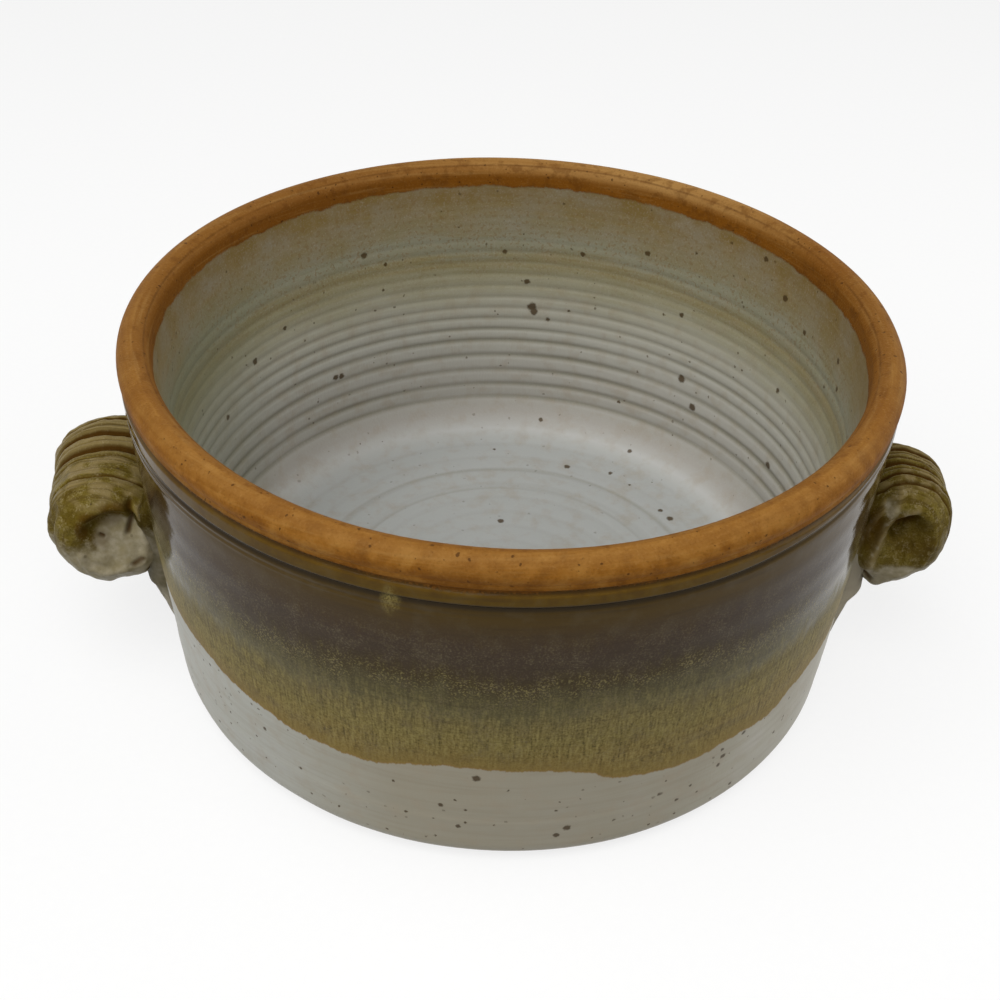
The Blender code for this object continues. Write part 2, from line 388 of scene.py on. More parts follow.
# Glazed stoneware: a satin glaze that shows its surroundings softly, mottled where it ran, over
# clay whose iron melts through as brown specks. Bare clay on the rim is rough, warm and matt.
dish_glaze = bpy.data.materials.new("thrown_stoneware_in_pale_and_ash_glaze")
dish_glaze.use_nodes = True
tree = dish_glaze.node_tree
shader = tree.nodes["Principled BSDF"]
place = add(tree, "TexCoord", {}, out="Object")
sideways, backwards, upwards = (add(tree, "SeparateXYZ", {0: place}, out=axis) for axis in "XYZ")
height, above_groove, groove_left, inside, ring, above_edge = (
    add(tree, "Attribute", {}, out="Fac", attribute_name=name) for name in DISH_LAYERS
)
not_inside = add(tree, "Math", {0: 1.0, 1: inside}, operation="SUBTRACT")
cloud = mottle(tree, place, 30.0, detail=3.0)
patch = mottle(tree, place, 6.0, detail=3.0)
grain = mottle(tree, place, 0.7, detail=3.0)
fine = mottle(tree, place, 0.45, detail=1.0)
round_lines = mottle(tree, place, 1.5, stretch=(0.05, 0.05, 1.0), detail=3.0)
runs = mottle(tree, place, 0.7, stretch=(1.0, 1.0, 0.14), detail=3.0)
wide_runs = mottle(tree, place, 3.4, stretch=(1.0, 1.0, 0.22), detail=3.0)

# Lines round the rim: noise across its section that changes slowly on the way round
RIM_LINE_WIDTH = 1.5
RIM_LINE_LENGTH = 26.0
from_axis = add(tree, "VectorMath", {0: place, 1: (1.0, 1.0, 0.0)}, operation="MULTIPLY")
from_axis = add(tree, "VectorMath", {0: from_axis}, out="Value", operation="LENGTH")
section = add(tree, "CombineXYZ", {0: from_axis, 1: upwards})
section = add(tree, "VectorMath", {0: section, 3: 1 / (RIM_LINE_WIDTH * MM)}, operation="SCALE")
way_round = add(tree, "VectorMath", {0: place, 3: 1 / (RIM_LINE_LENGTH * MM)}, operation="SCALE")
rim_place = add(tree, "VectorMath", {0: section, 1: way_round}, operation="ADD")
rim_lines = add(tree, "TexNoise", {"Vector": rim_place, "Scale": 1.0, "Detail": 3.0, "Roughness": 0.6})

# Specks bleed unevenly, so the places that they are measured from are shaken a little
SHAKE_SIZE = 1.2
SHAKE_REACH = 1.3
shaken = add(tree, "TexNoise", {"Vector": place, "Scale": 1 / (SHAKE_SIZE * MM), "Detail": 2.0}, out="Color")
shaken = add(tree, "VectorMath", {0: shaken, 1: (0.5, 0.5, 0.5)}, operation="SUBTRACT")
shaken = add(tree, "VectorMath", {0: shaken, 3: SHAKE_REACH * MM}, operation="SCALE")
shaken = add(tree, "VectorMath", {0: place, 1: shaken}, operation="ADD")
small_specks = keep_where(tree, iron_specks(tree, shaken, 3.6, 1.5, 0.5), height, 11.0, 40.0, 0.35, 0.75)
outside_specks = iron_specks(tree, shaken, 2.9, 1.7, 0.42)
outside_specks = add(tree, "Math", {0: outside_specks, 1: not_inside}, operation="MULTIPLY")
specks = iron_specks(tree, shaken, 9.0, 3.2, 0.5)
specks = add(tree, "Math", {0: small_specks, 1: specks}, operation="MAXIMUM")
specks = add(tree, "Math", {0: specks, 1: outside_specks}, operation="MAXIMUM")
for spot, size in large_specks:
    away = add(tree, "VectorMath", {0: shaken, 1: spot}, out="Value", operation="DISTANCE")
    blot = add(tree, "MapRange", {0: away, 1: size * 0.62 * MM, 2: size * 0.38 * MM})
    specks = add(tree, "Math", {0: specks, 1: blot}, operation="MAXIMUM")

# Pale glaze low on the outside, with warm lines and patches, darker and browner towards the front and paler
# and cooler towards the left
pale = add(tree, "ValToRGB", {0: cloud}, stops=((0.30, "#a09a89"), (0.50, "#aba798"), (0.72, "#b5b2a8")))
pale = lay_over(tree, pale, "#9b9482", backwards, -85 * MM, -113 * MM, 0.8)
pale = lay_over(tree, pale, "#b1b3ac", sideways, -30 * MM, -75 * MM, 0.7)
pale = lay_over(tree, pale, "#8f8571", round_lines, 0.46, 0.70, 0.25)
pale = lay_over(tree, pale, "#a0937f", patch, 0.50, 0.70, 0.35)

# Ash glaze: toasted under the rim, purple-brown where thick, breaking to olive streaks where it ran
RAMP_HEIGHT = 120.0
STEADY_HEIGHTS = (88.0, 102.0)
band_height = stray(tree, height, wide_runs, 3.4, 0.25, 0.75)
band_height = stray(tree, band_height, cloud, 3.0, 0.25, 0.75)
steady = add(tree, "MapRange", {0: height, 1: STEADY_HEIGHTS[0], 2: STEADY_HEIGHTS[1]})
band_height = add(tree, "Mix", {0: steady, 2: band_height, 3: height})
band = add(tree, "Math", {0: band_height, 1: 1 / RAMP_HEIGHT}, operation="MULTIPLY")
ash = add(tree, "ValToRGB", {0: band}, stops=(
    (0.25, "#7e6c38"), (0.37, "#7a6839"), (0.45, "#75683a"), (0.50, "#6e623b"), (0.56, "#5c5536"),
    (0.60, "#4d462d"), (0.64, "#43381f"), (0.70, "#413528"), (0.76, "#43362a"), (0.82, "#483820"),
    (0.86, "#4d3b17"), (0.885, "#483610"), (0.905, "#57420f"), (0.94, "#5c430e"),
))
run_zone = add(tree, "MapRange", {0: band_height, 1: 78.0, 2: 58.0}, interpolation_type="SMOOTHSTEP")
grainy_runs = add(tree, "Mix", {0: 0.5, 2: runs, 3: grain})
ash = lay_over(tree, ash, "#968955", grainy_runs, 0.48, 0.62, 0.62, [run_zone])
ash = lay_over(tree, ash, "#453c1e", grainy_runs, 0.48, 0.36, 0.78, [run_zone])

# Fine lines from the wheel show through the thick glaze, and it is cloudy
ash = lay_over(tree, ash, "#33281a", round_lines, 0.48, 0.34, 0.22)
ash = lay_over(tree, ash, "#5c5240", patch, 0.50, 0.72, 0.25)

# Yellow crystals under 1 mm across float in the glaze, most of them along one band
CRYSTAL_HEIGHT = 75.5
crystal_grain = mottle(tree, place, 0.58, detail=1.0)
from_band = add(tree, "Math", {0: band_height, 1: CRYSTAL_HEIGHT}, operation="SUBTRACT")
from_band = add(tree, "Math", {0: from_band}, operation="ABSOLUTE")
crystal_band = add(
    tree, "MapRange", {0: from_band, 1: 7.0, 2: 0.5, 3: 0.10, 4: 0.62}, interpolation_type="SMOOTHSTEP"
)
crystal_band = keep_where(tree, crystal_band, patch, 0.36, 0.52, 0.35)
crystal_band = keep_where(tree, crystal_band, height, 104.0, 92.0)
ash = lay_over(tree, ash, "#8d8150", crystal_grain, 0.53, 0.66, 1.0, [crystal_band])

# Pin-sized pale bubbles show all through the thick part
bubble_grain = mottle(tree, place, 0.6, detail=1.0)
bubble_zone = add(
    tree, "MapRange", {0: height, 1: 102.0, 2: 88.0, 3: 0.0, 4: 0.38}, interpolation_type="SMOOTHSTEP"
)
bubble_zone = keep_where(tree, bubble_zone, patch, 0.36, 0.62, 0.2)
ash = lay_over(tree, ash, "#736850", bubble_grain, 0.54, 0.66, 1.0, [bubble_zone])

# Under the rim it is thin and patchy, with a dark line where it meets the bare clay
strip = add(tree, "MapRange", {0: above_groove, 1: 0.7, 2: 2.0})
ash = lay_over(tree, ash, "#4a3410", patch, 0.52, 0.36, 0.55, [strip])
ash = lay_over(tree, ash, "#3a250a", height, 112.0, 112.9, 0.65, [groove_left], blend="SMOOTHSTEP")

# The turned line holds a dark pool of glaze, and a drip of ochre crossed it
from_groove = add(tree, "Math", {0: above_groove}, operation="ABSOLUTE")
ash = lay_over(tree, ash, "#2b2318", from_groove, 1.7, 0.5, 0.85, [groove_left], blend="SMOOTHSTEP")
DRIP = round_dish(-105.2, WALL_TOP_RADIUS, 104.8)
to_drip = add(tree, "VectorMath", {0: shaken, 1: DRIP}, operation="SUBTRACT")
to_drip = add(tree, "VectorMath", {0: to_drip, 1: (1.0, 1.0, 0.55)}, operation="MULTIPLY")
to_drip = add(tree, "VectorMath", {0: to_drip}, out="Value", operation="LENGTH")
drip_patch = add(tree, "MapRange", {0: patch, 1: 0.42, 2: 0.56, 3: 0.15, 4: 1.0})
drip_patch = keep_where(tree, drip_patch, fine, 0.40, 0.60, 0.3)
ash = lay_over(tree, ash, "#8b7c46", to_drip, 3.4 * MM, 0.8 * MM, 0.8, [drip_patch])

# Where the ash glaze ends it lies thin and ochre, with a ragged edge
ragged = stray(tree, above_edge, runs, 0.25)
ragged = stray(tree, ragged, wide_runs, 0.55)
ash = lay_over(tree, ash, "#7f6a36", ragged, 8.0, 0.5, 0.55, blend="SMOOTHSTEP")
ash = lay_over(tree, ash, "#8f7040", ragged, 1.2, 0.2, 0.4, blend="SMOOTHSTEP")
covered = add(tree, "MapRange", {0: ragged, 1: -0.45, 2: 0.35}, interpolation_type="SMOOTHSTEP")
outside = add(tree, "Mix", {0: covered, 6: pale, 7: ash}, out=2, data_type="RGBA")

# Pale glaze inside: tan under the rim, faintly green, and darker where it pooled in the rings
uneven = add(tree, "MapRange", {0: cloud, 1: 0.25, 2: 0.75, 3: -3.0, 4: 3.0})
uneven = stray(tree, uneven, round_lines, 2.0)
uneven = keep_where(tree, uneven, height, 20.0, 55.0)
lining_height = add(tree, "Math", {0: height, 1: uneven})
lining = add(tree, "Math", {0: lining_height, 1: 1 / RAMP_HEIGHT}, operation="MULTIPLY")
lining = add(tree, "ValToRGB", {0: lining}, stops=(
    (0.085, "#a0a2a0"), (0.094, "#a3a4a1"), (0.110, "#adadaa"), (0.125, "#a5a39e"), (0.15, "#9f9b94"),
    (0.21, "#a5a29a"), (0.30, "#a8a59d"), (0.45, "#a9a79d"), (0.54, "#a6a395"), (0.61, "#9b9781"),
    (0.66, "#908a6d"), (0.70, "#867b57"), (0.735, "#87836a"), (0.765, "#88866f"), (0.80, "#837a5c"),
    (0.87, "#7f6f49"), (0.94, "#776236"),
))
lining = lay_over(tree, lining, "#716d5a", ring, 0.12, 0.95, 0.66)
lining = lay_over(tree, lining, "#8f8066", patch, 0.48, 0.70, 0.26)
lining = lay_over(tree, lining, "#aeaca3", grain, 0.52, 0.72, 0.22)
cool_patch = mottle(tree, place, 9.0, stretch=(0.6, 0.6, 1.0), detail=3.0)
cool_zone = add(tree, "MapRange", {0: lining_height, 1: 80.0, 2: 96.0})
lining = lay_over(tree, lining, "#8d8b80", cool_patch, 0.38, 0.72, 0.4, [cool_zone])
freckle_zone = add(tree, "MapRange", {0: lining_height, 1: 70.0, 2: 92.0})
lining = lay_over(tree, lining, "#78603c", mottle(tree, place, 1.3), 0.54, 0.66, 0.5, [freckle_zone])
# Painted shade with a green tint: the upper left of the inside wall, which faces away from the main light, is
# made darker and greener
shade_and_green_zone = add(tree, "MapRange", {0: lining_height, 1: 104.0, 2: 92.0})
lining = lay_over(tree, lining, "#6f7155", sideways, -85 * MM, -108 * MM, 0.5, [shade_and_green_zone])
colour = add(tree, "Mix", {0: inside, 6: outside, 7: lining}, out=2, data_type="RGBA")
hidden = add(tree, "Math", {0: covered, 1: not_inside}, operation="MULTIPLY")
speck_share = add(tree, "MapRange", {0: hidden, 3: 0.88, 4: 0.12})
colour = lay_over(tree, colour, "#43321a", specks, 0.0, 1.0, 1.0, [speck_share])

# Bare clay: toasted unevenly and browner to the left at the back. Its crest is paler, partly its own tone and
# partly a painted sheen, and a painted highlight makes the top of the rim paler still at the back, most of
# all to the right
clay = add(tree, "ValToRGB", {0: patch}, stops=((0.30, "#734612"), (0.48, "#89581b"), (0.70, "#9c6d2f")))
clay = add(tree, "Mix", {0: inside, 6: clay, 7: "#79490e"}, out=2, data_type="RGBA")
# Painted sheen with the clay's own tone: the crest of the rim is paler
clay = lay_over(tree, clay, "#7d592a", height, 118.8, 122.0, 0.55)
at_back = add(tree, "MapRange", {0: backwards, 1: 40 * MM, 2: 100 * MM})
highlight_to_right = add(tree, "MapRange", {0: sideways, 1: -30 * MM, 2: 60 * MM, 3: 0.15, 4: 0.62})
# Painted highlight: a pale sheen along the top of the rim at the back, strongest to the right
clay = lay_over(tree, clay, "#a27d48", height, 117.5, 120.5, 1.0, [at_back, highlight_to_right])
clay = lay_over(tree, clay, "#5c3508", sideways, -10 * MM, -70 * MM, 0.55, [at_back])
to_side = add(tree, "Math", {0: sideways}, operation="ABSOLUTE")
clay = lay_over(tree, clay, "#664115", to_side, 85 * MM, 112 * MM, 0.35)
blotches = mottle(tree, place, 4.5, detail=4.0)
blotch_share = add(tree, "MapRange", {0: inside, 3: 0.16, 4: 0.50})
clay = lay_over(tree, clay, "#5b350b", blotches, 0.53, 0.63, 1.0, [blotch_share])

# A broken dark line along the rim's inner edge, lines from the sponge, and grains and pits in the clay
INNER_EDGE_RADIUS = 111.7
from_inner_edge = add(tree, "Math", {0: from_axis, 1: INNER_EDGE_RADIUS * MM}, operation="SUBTRACT")
from_inner_edge = add(tree, "Math", {0: from_inner_edge}, operation="ABSOLUTE")
broken = add(tree, "MapRange", {0: patch, 1: 0.28, 2: 0.50})
clay = lay_over(tree, clay, "#4d2c08", from_inner_edge, 0.4 * MM, 0.1 * MM, 0.5, [broken])
clay = lay_over(tree, clay, "#6a3f0c", rim_lines, 0.52, 0.72, 0.34)
clay = lay_over(tree, clay, "#a07c46", rim_lines, 0.47, 0.30, 0.22)
clay = lay_over(tree, clay, "#6a3f0e", cloud, 0.52, 0.72, 0.55)
clay = lay_over(tree, clay, "#5a340a", height, 115.2, 113.2, 0.70)
clay = lay_over(tree, clay, "#a07a46", grain, 0.55, 0.74, 0.22)
clay = lay_over(tree, clay, "#5f3b10", grain, 0.44, 0.30, 0.35)
clay_pits = add(tree, "Math", {
    0: iron_specks(tree, shaken, 3.0, 1.4, 0.6), 1: iron_specks(tree, shaken, 1.8, 0.9, 0.35),
}, operation="MAXIMUM")
clay = lay_over(tree, clay, "#42260a", clay_pits, 0.0, 1.0, 0.8)

# The clay is bare above a wavy wiped edge, and on the underside that stood on the kiln shelf
WIPED_ABOVE = (113.3, 114.2)
wiped = stray(tree, height, cloud, 0.6)
wiped = stray(tree, wiped, grain, 0.35)
wavy = add(tree, "MapRange", {0: patch, 1: 0.3, 2: 0.7, 3: -0.5, 4: 0.5})
wavy = add(tree, "Math", {0: wavy, 1: inside}, operation="MULTIPLY")
wiped = add(tree, "Math", {0: wiped, 1: wavy})
wipe_edge = add(tree, "Mix", {0: inside, 2: WIPED_ABOVE[0], 3: WIPED_ABOVE[1]})
above_wipe = add(tree, "Math", {0: wiped, 1: wipe_edge}, operation="SUBTRACT")
bare = add(tree, "MapRange", {0: above_wipe, 1: -0.5, 2: 0.5}, interpolation_type="SMOOTHSTEP")
underside = add(tree, "MapRange", {0: wiped, 1: 2.2, 2: 1.4})
bare = add(tree, "Math", {0: bare, 1: underside}, operation="MAXIMUM")
colour = add(tree, "Mix", {0: bare, 6: colour, 7: clay}, out=2, data_type="RGBA")
tree.links.new(colour, shader.inputs["Base Color"])

sheen = add(tree, "MapRange", {0: patch, 1: 0.3, 2: 0.7, 3: 0.04, 4: 0.08})
sheen = add(tree, "Mix", {0: run_zone, 2: sheen, 3: 0.50})
sheen = add(tree, "Mix", {0: covered, 2: 0.36, 3: sheen})
sheen = add(tree, "Mix", {0: inside, 2: sheen, 3: 0.40})
tree.links.new(add(tree, "Mix", {0: bare, 2: sheen, 3: 0.62}), shader.inputs["Roughness"])
shader.inputs["IOR"].default_value = 1.16

run_relief = add(tree, "Math", {0: runs, 1: run_zone}, operation="MULTIPLY")
run_relief = add(tree, "Math", {0: run_relief, 1: 0.35}, operation="MULTIPLY")
patch_relief = add(tree, "Math", {0: patch, 1: 0.5}, operation="MULTIPLY")
relief = add(tree, "Math", {0: run_relief, 1: keep_where(tree, grain, bare, 0.0, 1.0, 0.10)})
relief = add(tree, "Math", {0: relief, 1: patch_relief})
tree.links.new(
    add(tree, "Bump", {"Height": relief, "Strength": 0.5, "Distance": 0.3 * MM}), shader.inputs["Normal"]
)

finish_piece("dish_body", bm, dish_glaze)

# Handle pads
# Each handle is stuck on with a pad of soft clay, wedged under the roll and smeared down the
# wall with a thumb into a tail. It was glazed with the dish, so it is olive above, pale below.

HANDLE_HEIGHT = 53.0
HANDLE_LEAN = math.radians(3.5)
ROLL_WIDTH = 35.0
ROLL_CENTRE = 14.5
ROLL_BACK = 4.6
LEFT_ROLL = {"side": -1, "length": 54.0, "heights": (38.6, 38.8), "rear_width": 48.0, "shoulder": 5.6}
RIGHT_ROLL = {"side": 1, "length": 35.0, "heights": (45.0, 41.4), "rear_width": 39.4, "shoulder": 8.5}
PAD_TOP = 68.0
PAD_SHARE = 0.94
PAD_EDGE = 0.8
PAD_SINK = 4.0
PAD_LUMP_SIZE = 6.0
PAD_LUMP_DEPTH = 0.7
WALL_SINK = 0.6
TAIL_LENGTH = 22.0
TAIL_SHARE = 0.5
TAIL_SWEEP = 1.7
LEDGE_DROP = 1.5
LEDGE_HALF = 4.0
PIT_DEPTH = 0.7
PAD_GRID = (28, 72)

# Heights over which a pad's colour turns from olive to buff, from buff to a pale that is smeared glaze and
# painted light on the shaded tail, and to painted shade with darker glaze above
PALE_BLEND = 13.0
SMEAR_AND_LIGHT_BLEND = 9.0
SHADE_BLEND = 8.0


def beside_dish(side, across, along, height):
    """A point beside the dish: out through the middle of a handle, along it to the rear, and up."""
    x = across * math.cos(HANDLE_LEAN) + along * math.sin(HANDLE_LEAN)
    y = along * math.cos(HANDLE_LEAN) - across * math.sin(HANDLE_LEAN)
    return (side * x, y, height)


# Olive ash glaze on hand-rolled clay: glossy and mottled, pooled dark in the grooves, and rubbed thin to a
# pale buff where a thumb smeared it. Painted shade darkens the hollows under their arches and the pads under
# the rolls, painted glints lie on top of the rolls, and painted light makes the pads' shaded tails paler.
HANDLE_LAYERS = ("groove", "buff_and_painted_light", "shade_and_dark_glaze", "worn_and_glint", "along")
handle_glaze = bpy.data.materials.new("olive_ash_glaze_on_rolled_clay")
handle_glaze.use_nodes = True
tree = handle_glaze.node_tree
shader = tree.nodes["Principled BSDF"]
place = add(tree, "TexCoord", {}, out="Object")
groove, buff_and_painted_light, shade_and_dark_glaze, worn_and_glint, along = (
    add(tree, "Attribute", {}, out="Fac", attribute_name=name) for name in HANDLE_LAYERS
)
cloud = mottle(tree, place, 8.0, detail=3.0)
patch = mottle(tree, place, 2.4, detail=3.0)
grain = mottle(tree, place, 0.6, detail=2.0)

# Streaks that were drawn round the strap: about 1 mm wide along the roll, and 15 mm long round it
STREAKS_PER_METRE = 60.0
drawn = add(tree, "VectorMath", {0: place, 3: STREAKS_PER_METRE}, operation="SCALE")
drawn = add(tree, "VectorMath", {0: drawn, 1: add(tree, "CombineXYZ", {0: along})}, operation="ADD")
drawn = add(tree, "TexNoise", {"Vector": drawn, "Scale": 1.1, "Detail": 3.0, "Roughness": 0.6})

olive = add(tree, "ValToRGB", {0: cloud}, stops=((0.30, "#4f3f0c"), (0.50, "#5f501a"), (0.70, "#6c5e27")))
olive = lay_over(tree, olive, "#7b6d3a", patch, 0.46, 0.68, 0.55)
olive = lay_over(tree, olive, "#423407", grain, 0.50, 0.32, 0.55)
# Worn tan on the rear of the rolls and on pale ridges, and painted glints on top of the rolls near their
# front ends
olive = lay_over(tree, olive, "#7c6c45", worn_and_glint, 0.0, 1.0, 1.0)
olive = lay_over(tree, olive, "#46360d", drawn, 0.50, 0.34, 0.60)
milky = add(tree, "Mix", {0: 0.5, 2: patch, 3: grain})
olive = lay_over(tree, olive, "#93866a", milky, 0.55, 0.70, 0.5)

buff_and_lit_share = stray(tree, buff_and_painted_light, patch, 0.13)
buff_and_lit_share = add(tree, "MapRange", {0: buff_and_lit_share, 1: 0.15, 2: 0.85}, interpolation_type="SMOOTHSTEP")
buff_and_lit_tone = add(tree, "ValToRGB", {0: patch}, stops=((0.25, "#7f765c"), (0.50, "#8f866e"), (0.75, "#9e9682")))
buff_and_lit_tone = lay_over(tree, buff_and_lit_tone, "#7a6e49", cloud, 0.48, 0.66, 0.6)
# Painted light on the pads' smeared tails: a pale buff, paler than the smeared glaze, stands in for light on
# the tail in the handle's shade
buff_and_lit_tone = lay_over(tree, buff_and_lit_tone, "#cbc2ad", buff_and_painted_light, 1.1, 1.6, 1.0)
colour = add(tree, "Mix", {0: buff_and_lit_share, 6: olive, 7: buff_and_lit_tone}, out=2, data_type="RGBA")
# Painted shade with darker glaze: under the arches of the end hollows, in the right end's eye, and high on
# the pads under the rolls
colour = lay_over(tree, colour, "#452d02", shade_and_dark_glaze, 0.0, 1.0, 1.0)
colour = lay_over(tree, colour, "#3c2504", groove, 0.10, 0.65, 0.95)
speck_share = add(tree, "MapRange", {0: buff_and_lit_share, 3: 0.7, 4: 0.3})
specks = iron_specks(tree, place, 5.0, 1.5, 0.4)
colour = lay_over(tree, colour, "#33220a", specks, 0.0, 1.0, 1.0, [speck_share])
tree.links.new(colour, shader.inputs["Base Color"])

gloss = add(tree, "MapRange", {0: patch, 1: 0.3, 2: 0.7, 3: 0.26, 4: 0.48})
dull = add(tree, "MapRange", {0: groove, 1: 0.05, 2: 0.45})
dull = add(tree, "Math", {0: dull, 1: shade_and_dark_glaze}, operation="MAXIMUM")
tree.links.new(add(tree, "Mix", {0: dull, 2: gloss, 3: 0.85}), shader.inputs["Roughness"])
shader.inputs["IOR"].default_value = 1.12

relief = add(tree, "Math", {0: patch, 1: add(tree, "Math", {0: grain, 1: 0.3}, operation="MULTIPLY")})
relief = add(tree, "Math", {0: relief, 1: add(tree, "Math", {0: drawn, 1: 0.5}, operation="MULTIPLY")})
relief = keep_where(tree, relief, buff_and_lit_share, 0.0, 1.0, 1.0, 0.35)
tree.links.new(
    add(tree, "Bump", {"Height": relief, "Strength": 0.6, "Distance": 0.5 * MM}), shader.inputs["Normal"]
)


def stick_pad(name, roll, tail_slant, ledge, tone, pale_top, smear_and_light_top, pits):
    """A pad on the wall behind a roll: a grid of clay, thick in the middle and rounded off into the wall."""
    half_height = max(roll["heights"]) / 2
    roll_bottom = HANDLE_HEIGHT - half_height
    pad_bottom = roll_bottom - TAIL_LENGTH
    pad_width = roll["length"] * PAD_SHARE
    pale_top += roll_bottom
    smear_and_light_top += roll_bottom
    bm = bmesh.new()
    bmesh.ops.create_grid(bm, x_segments=PAD_GRID[0], y_segments=PAD_GRID[1], size=1)
    inner = set(bm.verts)
    bmesh.ops.extrude_face_region(bm, geom=list(bm.faces), use_keep_orig=True)
    layers = float_layers(bm, HANDLE_LAYERS)
    for vert in bm.verts:
        across = math.sin(vert.co.x * math.pi / 2)
        height = pad_bottom + (PAD_TOP - pad_bottom) * (vert.co.y + 1) / 2
        narrowing = max(0.0, (roll_bottom - height) / TAIL_LENGTH)
        along = across * pad_width * (1 + (TAIL_SHARE - 1) * narrowing ** 2) / 2
        if height < roll_bottom:
            climb = (height - pad_bottom) / TAIL_LENGTH
            full = PAD_EDGE + (roll["shoulder"] - PAD_EDGE) * climb ** TAIL_SWEEP
            full += ledge * hump(height - roll_bottom + LEDGE_DROP, LEDGE_HALF)
        else:
            share = min(1.0, abs(height - HANDLE_HEIGHT) / half_height)
            back = ROLL_CENTRE - roll["rear_width"] / 2 * math.sqrt(1 - share ** 2)
            full = min(roll["shoulder"] + 1, max(ROLL_BACK, back) + PAD_SINK, PAD_EDGE + PAD_TOP - height)
        pit = sum(hump(math.dist((along, height), middle), half) for middle, half in pits)
        stand = -WALL_SINK
        if vert not in inner:
            rounded = math.sqrt(1 - abs(across) ** 5)
            lump = PAD_LUMP_DEPTH * noise.noise(Vector((along, height, roll["length"])) / PAD_LUMP_SIZE)
            stand += (WALL_SINK + full + lump) * rounded - PIT_DEPTH * pit
        angle = (along - tail_slant * narrowing) / wall_radius(height)
        reach = wall_radius(height) + stand
        vert.co = beside_dish(roll["side"], reach * math.cos(angle), reach * math.sin(angle), height)
        pale = ease(pale_top, pale_top - PALE_BLEND, height)
        # Over 1 on the smeared tail, where the paler colour is painted light as well as smeared glaze
        vert[layers["buff_and_painted_light"]] = pale + 0.6 * ease(smear_and_light_top, smear_and_light_top - SMEAR_AND_LIGHT_BLEND, height)
        vert[layers["groove"]] = pit
        vert[layers["along"]] = along
        # Painted shade with darker glaze, high on the pad under the roll
        vert[layers["shade_and_dark_glaze"]] = tone * ease(pale_top - SHADE_BLEND, pale_top, height)
    finish_piece(name, bm, handle_glaze)


# A pit in the right pad: its place along the pad and up, and its half width
RIGHT_PITS = (((11.0, 27.1), 1.6),)
stick_pad(
    "left_handle_pad", LEFT_ROLL, tail_slant=5.0, ledge=0.0, tone=0.25, pale_top=30.0, smear_and_light_top=4.0, pits=()
)
stick_pad(
    "right_handle_pad", RIGHT_ROLL, tail_slant=16.0, ledge=1.8, tone=0.45, pale_top=27.0, smear_and_light_top=24.0,
    pits=RIGHT_PITS,
)

# Rolled handles
# Each handle is a strap of clay, drawn out by hand so that fingers left ridges along it, then
# rolled up like a scroll and pressed on to its pad. A thumb pushed a hollow into its open end.

END_ROUND = 12.0
LIP_RADIUS = 11.0
DOME_CENTRE = ROLL_WIDTH / 2 - END_ROUND
DOME_DEPTH = math.sqrt(END_ROUND ** 2 - (LIP_RADIUS - DOME_CENTRE) ** 2)
END_REACH = (15.0, 9.0)
ROLL_STEP = 0.4
ROLL_SEGMENTS = 144
GROOVE_BEND = 0.7
GROOVE_BEND_SIZE = 9.0
TOP_HEIGHTS = (4.0, 13.0)
# Painted glints lie between these heights up the roll and these places along it
SHINE_HEIGHTS = (11.0, 15.0)
SHINE_PLACE = (2.0, -4.0)
SOFTER_EDGE = 2.5
BUFF_BLEND = 7.0
WORN_BLEND = 4.0

# Grooves between the finger ridges: place along the roll, half width, depth, how much of the depth
# is left on top of the roll, and how much glaze pooled there
LEFT_GROOVES = (
    (22.5, 1.3, 0.7, 1.0, 0.7), (18.4, 1.3, 0.8, 1.0, 0.8), (14.6, 0.6, 0.25, 1.0, 0.3),
    (10.3, 2.9, 1.3, 1.0, 1.0), (5.6, 0.6, 0.25, 1.0, 0.3), (1.6, 3.1, 1.2, 1.0, 0.9),
    (-3.6, 0.7, 0.3, 1.0, 0.4), (-7.5, 0.6, 0.2, 0.5, 0.2), (-13.6, 1.3, 0.8, 1.0, 0.6),
    (-17.6, 0.7, 0.3, 0.6, 0.2), (-20.6, 3.0, 2.2, 0.0, 0.0),
)
RIGHT_GROOVES = (
    (14.2, 1.0, 0.6, 1.0, 0.6), (11.3, 1.5, 0.9, 1.0, 0.9), (9.0, 0.6, 0.3, 1.0, 0.3),
    (6.6, 1.9, 1.1, 1.0, 1.0), (4.0, 0.6, 0.3, 1.0, 0.4), (1.6, 1.0, 0.6, 1.0, 0.7),
    (-2.0, 2.3, 1.2, 1.0, 1.0), (-5.6, 0.7, 0.4, 1.0, 0.5), (-8.2, 1.3, 0.9, 1.0, 0.9),
    (-11.6, 1.1, 0.8, 0.9, 0.7),
)

# Thumb hollows in the ends, which are alike: middle and radii (out from the wall, up), depth, how soft the
# edge is, the way in which it gets softer, and the heights between which it runs out forwards
LEFT_HOLLOWS = (
    {
        "middle": (-4.3, 0.6), "radii": (11.6, 12.4), "depth": 4.6,
        "edge": 0.30, "soft": (0.7, -0.7), "runout": (-8.0, 8.0),
    },
)
RIGHT_HOLLOWS = (
    {
        "middle": (4.5, -0.5), "radii": (11.0, 9.0), "depth": 2.4,
        "edge": 0.70, "soft": (0.8, -0.6), "runout": (-10.0, 0.0),
    },
    {
        "middle": (0.8, 4.2), "radii": (6.8, 5.6), "depth": 5.5,
        "edge": 0.34, "soft": (0.9, -0.5), "runout": (-4.0, 4.0),
    },
)

